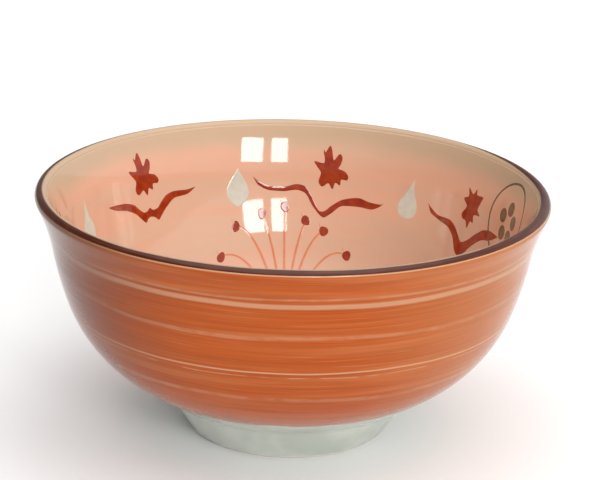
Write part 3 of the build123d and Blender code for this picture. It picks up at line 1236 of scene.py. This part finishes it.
    def build_recess(self, material: bpy.types.Material) -> None:
        """Make the pale lining inside the foot ring: a flat ceiling, a round corner and a side.

        Args:
            material: the lining's finish.
        """
        wall = self.wall
        bore = wall.foot_radius - wall.foot_width
        side, ceiling = bore - wall.glaze, wall.recess_height - wall.glaze
        flat = np.linspace(0.0, side - self.corner_radius, 30)[1:]
        corner = np.linspace(0.0, np.pi / 2, 14)[1:]
        centre = np.array([side - self.corner_radius, ceiling - self.corner_radius])
        bend = centre + self.corner_radius * np.stack([np.sin(corner), np.cos(corner)], axis=-1)
        drop = np.linspace(centre[1], wall.bare_height + self.wiped_round, 14)[1:]
        turn = np.linspace(0.0, np.pi / 2, 6)[1:]
        tuck = np.stack([side + self.wiped_round * (1 - np.cos(turn)),
                         drop[-1] - self.wiped_round * np.sin(turn)], axis=-1)
        front = np.concatenate([
            np.stack([flat, np.full(len(flat), ceiling)], axis=-1),
            bend,
            np.stack([np.full(len(drop), side), drop], axis=-1),
            tuck,
        ])
        up = np.linspace(wall.bare_height, wall.recess_height, 12)
        across = np.linspace(bore, 0.0, 16)[1:-1]
        back = np.concatenate([
            np.stack([np.full(len(up), bore), up], axis=-1),
            np.stack([across, np.full(len(across), wall.recess_height)], axis=-1),
        ])
        rings = turned(np.concatenate([front, back]), self.columns)
        poles = np.array([[0.0, 0.0, ceiling], [0.0, 0.0, wall.recess_height]])
        make_piece("celadon_recess_lining", [Shell(rings, poles)], material,
                   ["recess_glaze"])


# ---------------------------------------------------------------- painted motifs
@dataclass(frozen=True)
class Spot:
    """Where a motif's flat sheet of millimetres right and up is wrapped on to the inside."""

    bearing: float
    run: float


@dataclass(frozen=True)
class PaintFilm:
    """A film of paint on the inside: closed, nearly flat, and sunk a little at its edge."""

    wall: WallLine
    rise: float = 0.04
    sunk: float = 0.02
    shoulder: float = 0.5

    def wrap(self, spot: Spot, flat: Array, edge: Array,
             top: Array) -> tuple[Array, dict[str, Array]]:
        """Lay flat points on the inside.

        A point goes to the run that is its height above the spot, and to the bearing that is its
        distance to the right divided by the wall's radius there.

        Args:
            spot: where the sheet's origin goes.
            flat: (..., 2) points.
            edge: distance of each point from the film's outline.
            top: true for points on the film's upper face.

        Returns:
            Points (..., 3), and the runs and edge distances by name.
        """
        runs = (spot.run - flat[..., 1]).ravel()
        radius = self.wall.walk(runs, Side.INSIDE)[0][:, 0]
        bearing = spot.bearing + np.degrees(flat[..., 0].ravel() / radius)
        swell = smooth_step(0.0, self.shoulder, edge)
        above = (self.rise + self.sunk) * swell - self.sunk
        lift = np.where(top, above, -self.sunk * (1 + 2 * swell))
        points = self.wall.place(bearing, runs, lift.ravel()).reshape(*flat.shape[:-1], 3)
        return points, {"run": runs, "edge": np.asarray(edge).ravel()}

    def finish_shell(self, spot: Spot, rings: Array, poles: Array, outline: Array, top: Array,
                     pole_top: Array) -> Shell:
        """Wrap a film's rings and poles together, with the distances to its outline.

        Args:
            spot: where the film goes.
            rings: (n, columns, 2) flat points.
            poles: (2, 2) flat points.
            outline: the film's outline.
            top: (n, columns) true on the upper face.
            pole_top: (2,) true for a pole on the upper face.

        Returns:
            The closed shell.
        """
        flat = np.concatenate([rings.reshape(-1, 2), poles])
        upper = np.concatenate([np.broadcast_to(top, rings.shape[:2]).ravel(), pole_top])
        edge = edge_distance(flat, outline)
        points, attributes = self.wrap(spot, flat, edge, upper)
        return Shell(points[:-2].reshape(*rings.shape[:2], 3), points[-2:], attributes)

    def patch(self, spot: Spot, outline: Array, centre: Array) -> Shell:
        """Film of a shape that is star-shaped about a centre.

        Its points are centre + share x (outline - centre), with shares crowded to the outline.
        The upper face goes out from the centre and the lower face comes back to it.

        Args:
            spot: where the film goes.
            outline: (n, 2) rounded outline.
            centre: (2,) point that sees the whole outline.

        Returns:
            The closed shell.
        """
        out = 1.0 - (1.0 - np.linspace(0.0, 1.0, 17)[1:]) ** 1.7
        back = np.array([0.8, 0.4])
        shares = np.concatenate([out, back])[:, None, None]
        rings = centre + shares * (outline - centre)[None]
        top = (np.arange(len(shares)) < len(out))[:, None]
        poles = np.stack([centre, centre])
        return self.finish_shell(spot, rings, poles, outline, top, np.array([True, False]))

    def ribbon(self, spot: Spot, low: Array, high: Array, across: int = 13) -> Shell:
        """Film of a stroke between two edges that meet at both ends.

        A ring is one crossing of the stroke: over its upper face from the low edge to the high
        edge, crowded to both, and back under it.

        Args:
            spot: where the film goes.
            low: (n, 2) one edge, from end to end.
            high: (n, 2) the other edge.
            across: points over the upper face.

        Returns:
            The closed shell.
        """
        over = (1.0 - np.cos(np.linspace(0.0, np.pi, across))) / 2
        under = np.array([0.8, 0.5, 0.2])
        share = np.concatenate([over, under])[None, :, None]
        rings = low[1:-1, None, :] * (1 - share) + high[1:-1, None, :] * share
        top = (np.arange(share.shape[1]) < across)[None, :]
        poles = np.stack([low[0], low[-1]])
        outline = np.concatenate([low, high[-2:0:-1]])
        return self.finish_shell(spot, rings, poles, outline, top, np.array([False, False]))

    def hoop(self, spot: Spot, radius: float, width: float, segments: int = 160) -> Shell:
        """Film of a thin circle line, closed on itself round the circle.

        Args:
            spot: where the circle's centre goes.
            radius: its outer radius.
            width: the line's width.
            segments: points round the circle.

        Returns:
            The closed shell.
        """
        over = np.linspace(0.0, 1.0, 9)
        share = np.concatenate([over, [0.5]])
        angle = np.linspace(0.0, 2 * np.pi, segments, endpoint=False)[:, None]
        reach = (radius - width + share * width)[None, :]
        flat = np.stack([reach * np.sin(angle), reach * np.cos(angle)], axis=-1)
        edge = np.broadcast_to(np.minimum(share, 1 - share) * width, flat.shape[:2])
        top = np.broadcast_to(np.arange(len(share)) < len(over), flat.shape[:2])
        points, attributes = self.wrap(spot, flat, edge, top)
        return Shell(points, None, attributes)


def swollen(outline: Array, amount: float) -> Array:
    """Move a clockwise outline outwards along its normals.

    Args:
        outline: (n, 2) points, clockwise.
        amount: how far, in millimetres.

    Returns:
        The larger outline.
    """
    step = np.roll(outline, -1, axis=0) - np.roll(outline, 1, axis=0)
    step /= np.linalg.norm(step, axis=1, keepdims=True)
    return outline + amount * np.stack([-step[:, 1], step[:, 0]], axis=-1)


def stroke_edges(path: Array, half_width: Array) -> tuple[Array, Array]:
    """Edges of a stroke: its path moved to either side by half its width along the path's normal.

    Args:
        path: (n, 2) middle of the stroke.
        half_width: (n,) half widths, zero at the ends.

    Returns:
        The two edges, (n, 2) each.
    """
    step = np.gradient(path, axis=0)
    step /= np.linalg.norm(step, axis=1, keepdims=True)
    side = np.stack([-step[:, 1], step[:, 0]], axis=-1) * half_width[:, None]
    return path - side, path + side


@dataclass(frozen=True)
class MapleLeaves:
    """Red maple leaves in a row under the lip."""

    places: tuple[Spot, ...] = (
        Spot(-93.0, 12.6), Spot(-44.3, 11.4), Spot(10.0, 13.0), Spot(55.7, 16.2),
        Spot(112.3, 11.8), Spot(158.8, 12.4), Spot(208.7, 14.2),
    )
    five_lobed: tuple[tuple[float, float], ...] = (
        (-0.6, 6.8), (0.2, 5.2), (0.9, 2.3), (2.6, 4.4), (3.6, 3.2), (3.2, 1.2), (2.6, -0.2),
        (4.6, -0.9), (5.8, -2.4), (5.4, -3.6), (3.6, -3.6), (3.3, -5.4), (1.8, -4.7), (1.0, -6.8),
        (-0.4, -5.0), (-2.3, -6.2), (-3.5, -4.6), (-2.9, -1.9), (-4.2, 0.0), (-5.2, 1.7),
        (-2.0, 1.3), (-2.6, 5.4), (-1.8, 4.7),
    )
    five_lobed_heart: tuple[float, float] = (0.1, -1.5)
    ragged: tuple[tuple[float, float], ...] = (
        (0.9, 6.1), (1.5, 4.4), (4.5, 4.5), (4.1, 2.8), (3.2, 0.2), (4.8, -1.3), (1.9, -1.8),
        (2.2, -4.2), (0.9, -4.0), (-0.1, -6.4), (-1.2, -4.4), (-2.9, -4.0), (-3.6, -2.6),
        (-2.1, 0.0), (-4.0, 2.0), (-2.1, 3.2), (-2.8, 5.7), (-0.4, 4.2),
    )
    ragged_heart: tuple[float, float] = (0.1, 0.8)
    swell: float = 0.22

    def build(self, film: PaintFilm, paint: bpy.types.Material) -> None:
        """Paint the leaves. Every fourth is a ragged one.

        Args:
            film: the film maker.
            paint: the red.
        """
        kinds = [(self.five_lobed, self.five_lobed_heart)] * 3 + [(self.ragged, self.ragged_heart)]
        for index, spot in enumerate(self.places):
            corners, heart = kinds[index % len(kinds)]
            outline = swollen(smooth_loop(np.array(corners), 6), self.swell)
            shell = film.patch(spot, outline, np.array(heart))
            name = f"maple_leaf_{index + 1}"
            make_piece(f"painted_{name}", [shell], paint, [name])


@dataclass(frozen=True)
class BirdStrokes:
    """Red birds on the wing, each one stroke: (right, lower edge, upper edge) along it."""

    places: tuple[Spot, ...] = (
        Spot(-93.5, 19.5), Spot(-43.3, 21.7), Spot(8.0, 21.7), Spot(55.4, 24.2),
        Spot(112.8, 19.5), Spot(157.5, 21.6), Spot(209.5, 22.8),
    )
    soaring: tuple[tuple[float, float, float], ...] = (
        (-22.8, 6.2, 6.2), (-20.0, 2.4, 3.9), (-16.0, 0.8, 2.1), (-12.0, 0.6, 2.0),
        (-8.0, 1.1, 2.9), (-5.4, 0.3, 2.4), (-3.0, -3.4, -0.8), (0.0, -6.7, -5.4),
        (1.0, -7.2, -5.2), (3.0, -6.0, -3.5), (7.0, -3.0, -1.0), (12.0, -2.8, 0.0),
        (16.0, -3.1, -0.9), (19.0, -1.9, -1.0), (21.4, 0.6, 0.6),
    )
    gliding: tuple[tuple[float, float, float], ...] = (
        (-18.3, 3.6, 3.6), (-14.0, 1.6, 3.3), (-10.0, 0.7, 2.9), (-6.0, -1.2, 1.6),
        (-3.8, -3.4, -0.4), (-2.2, -4.7, -1.5), (-1.0, -3.5, -1.2), (0.0, -3.2, -0.3),
        (1.2, -3.5, -1.3), (2.7, -4.7, -1.1), (4.4, -3.2, 0.5), (7.0, -0.8, 2.5),
        (10.0, 1.1, 3.2), (14.0, 1.5, 3.1), (18.2, 3.8, 3.8),
    )
    diving: tuple[tuple[float, float, float], ...] = (
        (-18.0, 5.9, 5.9), (-15.6, 2.3, 3.9), (-12.0, 1.0, 2.3), (-8.0, -0.1, 2.2),
        (-5.0, -2.3, 0.9), (-2.4, -6.2, -1.5), (-0.6, -7.3, -3.0), (1.4, -6.4, -2.1),
        (5.0, -2.6, 1.0), (9.0, 0.3, 3.5), (13.0, 1.4, 4.3), (18.5, 4.2, 4.2),
    )
    swell: float = 0.22

    def build(self, film: PaintFilm, paint: bpy.types.Material) -> None:
        """Paint the birds: soaring, gliding, soaring, diving, and again.

        Args:
            film: the film maker.
            paint: the red.
        """
        kinds = [self.soaring, self.gliding, self.soaring, self.diving]
        for index, spot in enumerate(self.places):
            along, low, high = np.array(kinds[index % len(kinds)]).T
            share = (1.0 - np.cos(np.linspace(0.0, np.pi, 130))) / 2
            at = along[0] + (along[-1] - along[0]) * share
            swell = self.swell * np.sin(np.pi * share) ** 0.3
            low_edge = np.stack([at, monotone_curve(along, low, at) - swell], axis=-1)
            high_edge = np.stack([at, monotone_curve(along, high, at) + swell], axis=-1)
            name = f"bird_stroke_{index + 1}"
            shell = film.ribbon(spot, low_edge, high_edge)
            make_piece(f"painted_{name}", [shell], paint, [name])


@dataclass(frozen=True)
class WhiteDrops:
    """Milky white drops that hang between the birds."""

    bearings: tuple[float, ...] = (-70.0, -15.7, 33.6, 89.8, 136.5, 183.5, 234.5)
    leans: tuple[float, ...] = (0.4, 0.3, 1.9, 0.8, -0.6, 0.9, 0.2)
    run: float = 19.1
    slender: tuple[tuple[float, float], ...] = (
        (0.0, 7.8), (0.42, 5.6), (0.95, 3.4), (1.9, 1.2), (3.1, -0.9), (3.6, -2.9), (3.2, -4.9),
        (1.9, -6.2), (0.0, -6.6),
    )
    broad: tuple[tuple[float, float], ...] = (
        (0.0, 5.6), (0.95, 4.2), (2.1, 2.4), (3.1, 0.6), (3.7, -1.2), (3.7, -2.9), (2.9, -4.7),
        (1.5, -6.0), (0.0, -6.9),
    )
    heart: tuple[float, float] = (0.0, -2.5)

    def build(self, film: PaintFilm, paint: bpy.types.Material) -> None:
        """Paint the drops, slender and broad in turn.

        A drop's lean bends its tip sideways, more the higher a point is.

        Args:
            film: the film maker.
            paint: the white.
        """
        for index, (bearing, lean) in enumerate(zip(self.bearings, self.leans)):
            right = np.array(self.broad if index % 2 else self.slender)
            left = right[-2:0:-1] * np.array([-1.0, 1.0])
            outline = smooth_loop(np.concatenate([right, left]), 8)
            above = np.clip(outline[:, 1] - self.heart[1], 0.0, None)
            outline[:, 0] += lean * (above / (right[0, 1] - self.heart[1])) ** 2
            name = f"white_drop_{index + 1}"
            shell = film.patch(Spot(bearing, self.run), outline, np.array(self.heart))
            make_piece(f"painted_{name}", [shell], paint, [name])


@dataclass(frozen=True)
class LilySprays:
    """Orange stems that rise from the middle of the bowl and end in red anthers."""

    places: tuple[Spot, ...] = (Spot(-2.4, 43.15), Spot(124.0, 43.15), Spot(244.0, 43.15))
    anthers: tuple[tuple[float, float], ...] = (
        (-20.2, 2.0), (-15.4, 11.3), (-7.1, 15.0), (0.1, 17.1), (6.7, 13.0), (12.4, 10.0),
        (19.8, 3.0),
    )
    anther_size: tuple[float, float] = (1.55, 1.85)
    root: float = -25.0
    outermost: float = 20.0
    stem_half_width: float = 0.66
    tail_length: float = 2.6
    tail_half_width: float = 0.38

    def stem_path(self, along: float, high: float) -> Array:
        """Middle of a stem: a cubic Bezier curve from the root to an anther.

        The outer stems bow over, so their second handle lies above the anther.

        Args:
            along: the anther's distance to the right.
            high: its height.

        Returns:
            Points from the root to the anther, (n, 2).
        """
        t = np.linspace(0.0, 1.0, 60)[:, None]
        rise = high - self.root
        spread = abs(along) / self.outermost
        start = np.array([0.06 * along, self.root])
        rising = np.array([0.18 * along, self.root + 0.55 * rise])
        over = np.array([0.62 * along, high + 4.0 * spread**2 - 0.25 * rise * (1 - spread)])
        end = np.array([along, high])
        return (
            start * (1 - t) ** 3
            + 3 * rising * t * (1 - t) ** 2
            + 3 * over * t**2 * (1 - t)
            + end * t**3
        )

    def tail_path(self, along: float, high: float) -> Array:
        """Middle of the wisp that leaves an anther up and to the left.

        Args:
            along: the anther's distance to the right.
            high: its height.

        Returns:
            Points from the anther to the wisp's tip, (n, 2).
        """
        t = np.linspace(0.0, 1.0, 16)[:, None]
        start = np.array([along - 0.9, high + 0.7])
        straight, bend = np.array([-0.35, 0.8]) * self.tail_length, np.array([0.5, 0.2])
        return start + t * straight + t**2 * bend

    def build(self, film: PaintFilm, red: bpy.types.Material, orange: bpy.types.Material) -> None:
        """Paint the sprays.

        Args:
            film: the film maker for the anthers.
            red: the anthers' paint.
            orange: the stems' paint.
        """
        low_film = PaintFilm(film.wall, rise=film.rise / 2)
        angle = np.linspace(0.0, 2 * np.pi, 40, endpoint=False)
        for number, spot in enumerate(self.places):
            stems, anthers = [], []
            for index, (along, high) in enumerate(self.anthers):
                path = self.stem_path(along, high)
                share = np.linspace(0.0, 1.0, len(path))
                ends = smooth_step(0.0, 0.03, share) * smooth_step(1.0, 0.98, share)
                width = self.stem_half_width * (1.15 - 0.35 * share) * ends
                stems.append(low_film.ribbon(spot, *stroke_edges(path, width), across=9))
                tail = self.tail_path(along, high)
                share = np.linspace(0.0, 1.0, len(tail))
                width = self.tail_half_width * np.sqrt(np.clip(share * (1 - share) * 4, 0.0, None))
                stems.append(low_film.ribbon(spot, *stroke_edges(tail, width), across=9))
                wobble = 1.0 + 0.07 * np.sin(2 * angle + index)
                wobble += 0.05 * np.sin(3 * angle + 2 * index)
                oval = np.stack([np.sin(angle), np.cos(angle)], axis=-1) * self.anther_size
                outline = oval * wobble[:, None]
                centre = np.array([along, high])
                anthers.append(film.patch(spot, outline + centre, centre))
            stem_node, anther_node = f"lily_stems_{number + 1}", f"lily_anthers_{number + 1}"
            make_piece(f"painted_{stem_node}", stems, orange, [stem_node])
            make_piece(f"painted_{anther_node}", anthers, red, [anther_node])


@dataclass(frozen=True)
class RingOrnament:
    """One plain printed ornament: a thin circle round a five-petalled blossom."""

    place: Spot = Spot(75.0, 14.5)
    radius: float = 12.6
    line: float = 0.9
    petals: int = 5
    petal_offset: float = 4.4
    petal_radius: float = 2.3
    lift: float = 0.03

    def build(self, film: PaintFilm, paint: bpy.types.Material) -> None:
        """Print the ornament just over the strokes that it crosses.

        Args:
            film: the film maker for the strokes.
            paint: the olive print.
        """
        over = PaintFilm(film.wall, rise=film.rise + self.lift, shoulder=0.3)
        shells = [over.hoop(self.place, self.radius, self.line)]
        angle = np.linspace(0.0, 2 * np.pi, 36, endpoint=False)
        circle = self.petal_radius * np.stack([np.sin(angle), np.cos(angle)], axis=-1)
        for turn in np.linspace(0.0, 2 * np.pi, self.petals, endpoint=False):
            centre = self.petal_offset * np.array([np.sin(turn), np.cos(turn)])
            shells.append(over.patch(self.place, circle + centre, centre))
        make_piece("printed_ring_ornament", shells, paint, ["ring_ornament"])


# ---------------------------------------------------------------- studio
@dataclass(frozen=True)
class WindowPane:
    """A bright upright rectangle: a range of azimuths and elevations at a distance."""

    name: str
    azimuths: tuple[float, float]
    elevations: tuple[float, float]
    distance: float
    radiance: float
    colour: str = "ffffff"

    def build(self) -> None:
        """Hang an area light that fills the pane.

        Its power is radiance x area x pi, the power of an even emitter of that radiance.
        """
        left, right = (np.radians(a) for a in self.azimuths)
        low, high = (self.distance * np.tan(np.radians(e)) for e in self.elevations)
        width = 2 * self.distance * np.tan(abs(right - left) / 2)
        middle = (left + right) / 2
        light = bpy.data.lights.new(self.name, "AREA")
        light.shape = "RECTANGLE"
        light.size, light.size_y = width, high - low
        light.energy = self.radiance * width * (high - low) * np.pi
        light.color = linear(self.colour)[:3]
        lamp = bpy.data.objects.new(self.name, light)
        across, ahead = self.distance * np.sin(middle), self.distance * np.cos(middle)
        lamp.location = (across, ahead, (low + high) / 2)
        lamp.rotation_euler = (np.pi / 2, 0.0, np.pi - middle)
        bpy.context.scene.collection.objects.link(lamp)


@dataclass(frozen=True)
class Camera:
    """The view: a long lens a little above the lip, seen from the front."""

    place: tuple[float, float, float] = (0.0, -700.05, 290.02)
    yaw: float = 0.0033
    pitch: float = 0.3218
    roll: float = 0.0271
    lens: float = 153.1
    sensor: float = 36.0

    def build(self) -> None:
        """Make the camera and make it the scene's.

        It looks along (sin yaw cos pitch, cos yaw cos pitch, -sin pitch), rolled about that.
        """
        ahead = np.array([
            np.sin(self.yaw) * np.cos(self.pitch),
            np.cos(self.yaw) * np.cos(self.pitch),
            -np.sin(self.pitch),
        ])
        level = np.array([np.cos(self.yaw), -np.sin(self.yaw), 0.0])
        above = np.cross(level, ahead)
        right = np.cos(self.roll) * level + np.sin(self.roll) * above
        up = -np.sin(self.roll) * level + np.cos(self.roll) * above
        data = bpy.data.cameras.new("camera")
        data.lens, data.sensor_width = self.lens, self.sensor
        camera = bpy.data.objects.new("camera", data)
        placed = np.eye(4)
        placed[:3] = np.stack([right, up, -ahead, np.array(self.place) * MM], axis=-1)
        camera.matrix_world = Matrix(placed.tolist())
        bpy.context.scene.collection.objects.link(camera)
        bpy.context.scene.camera = camera


@dataclass(frozen=True)
class Studio:
    """Pale floor, two window panes, and surroundings that brighten to the right and overhead."""

    panes: tuple[WindowPane, ...] = (
        WindowPane("window_right", (152.0, 163.5), (15.0, 31.0), 1.5, 15.0),
        WindowPane("window_left", (168.0, 176.5), (15.0, 31.0), 1.5, 15.0),
    )
    overhead: float = 1.6
    overhead_span: Span = (0.66, 0.97)
    side_span: Span = (-0.8, 0.9)
    floor_size: float = 6.0
    floor_colour: str = "fafafa"
    floor_roughness: float = 0.9
    dim_side: float = 0.2
    bright_side: float = 0.95
    bright_direction: tuple[float, float, float] = (0.966, -0.259, 0.0)

    def build(self) -> None:
        """Make the floor, the world, the lights and the camera."""
        half = self.floor_size / 2
        corners = [(-half, -half, 0.0), (half, -half, 0.0), (half, half, 0.0), (-half, half, 0.0)]
        mesh = bpy.data.meshes.new("floor")
        mesh.from_pydata(corners, [], [(0, 1, 2, 3)])
        material, _, shader = new_material("white_paper_sweep")
        shader.inputs["Base Color"].default_value = linear(self.floor_colour)
        shader.inputs["Roughness"].default_value = self.floor_roughness
        mesh.materials.append(material)
        floor = bpy.data.objects.new("floor", mesh)
        bpy.context.scene.collection.objects.link(floor)
        world = bpy.data.worlds.new("surroundings")
        world.use_nodes = True
        tree = world.node_tree
        direction = add_node(tree, "ShaderNodeTexCoord").outputs["Generated"]
        product = {"operation": "DOT_PRODUCT"}
        inputs = {0: direction, 1: self.bright_direction}
        toward = add_node(tree, "ShaderNodeVectorMath", product, inputs).outputs[1]
        sides = eased(tree, toward, self.side_span, self.bright_side, self.dim_side)
        height = add_node(tree, "ShaderNodeSeparateXYZ", inputs={0: direction}).outputs[2]
        overhead = eased(tree, height, self.overhead_span, self.overhead)
        strength = combined(tree, "ADD", sides, overhead)
        tree.links.new(strength, tree.nodes["Background"].inputs["Strength"])
        tree.nodes["Background"].inputs["Color"].default_value = linear("ffffff")
        bpy.context.scene.world = world
        bpy.context.scene.view_settings.view_transform = "Standard"
        for pane in self.panes:
            pane.build()
        Camera().build()


# ---------------------------------------------------------------- the bowl
def dress_clay() -> None:
    """Give the two clay nodes of the CAD model their bare porcelain."""
    clay = BarePorcelain().build()
    for name in ("bowl_body", "foot_ring"):
        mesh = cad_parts[name].data
        mesh.materials.clear()
        mesh.materials.append(clay)
        log.info("%s: kept, bare porcelain", name)


def main() -> None:
    """Build the studio and the bowl, coat by coat and motif by motif."""
    logging.basicConfig(level=logging.INFO, format="%(name)s: %(message)s")
    Studio().build()
    low, high = CAD_BOUNDS
    wall = WallLine(rim_radius=(high.x - low.x) / 2 / MM, height=high.z / MM)
    wash, celadon = PeachGlaze(), CeladonGlaze()
    coats = Coats(wall)
    dress_clay()
    slip = BrushedOrangeGlaze()
    coats.build_outside(slip.build(celadon))
    coats.build_inside(wash.build())
    coats.build_lip(IronBand().build(wash))
    coats.build_foot(celadon.build("pale_celadon_glaze_under_slip", slip))
    coats.build_recess(celadon.build("pale_celadon_glaze"))
    film = PaintFilm(wall)
    red, white, orange, olive = (paint.build(wash) for paint in PAINTS)
    MapleLeaves().build(film, red)
    BirdStrokes().build(film, red)
    WhiteDrops().build(film, white)
    LilySprays().build(film, red, orange)
    RingOrnament().build(film, olive)
    bpy.context.view_layer.update()


if __name__ == "__main__":
    main()
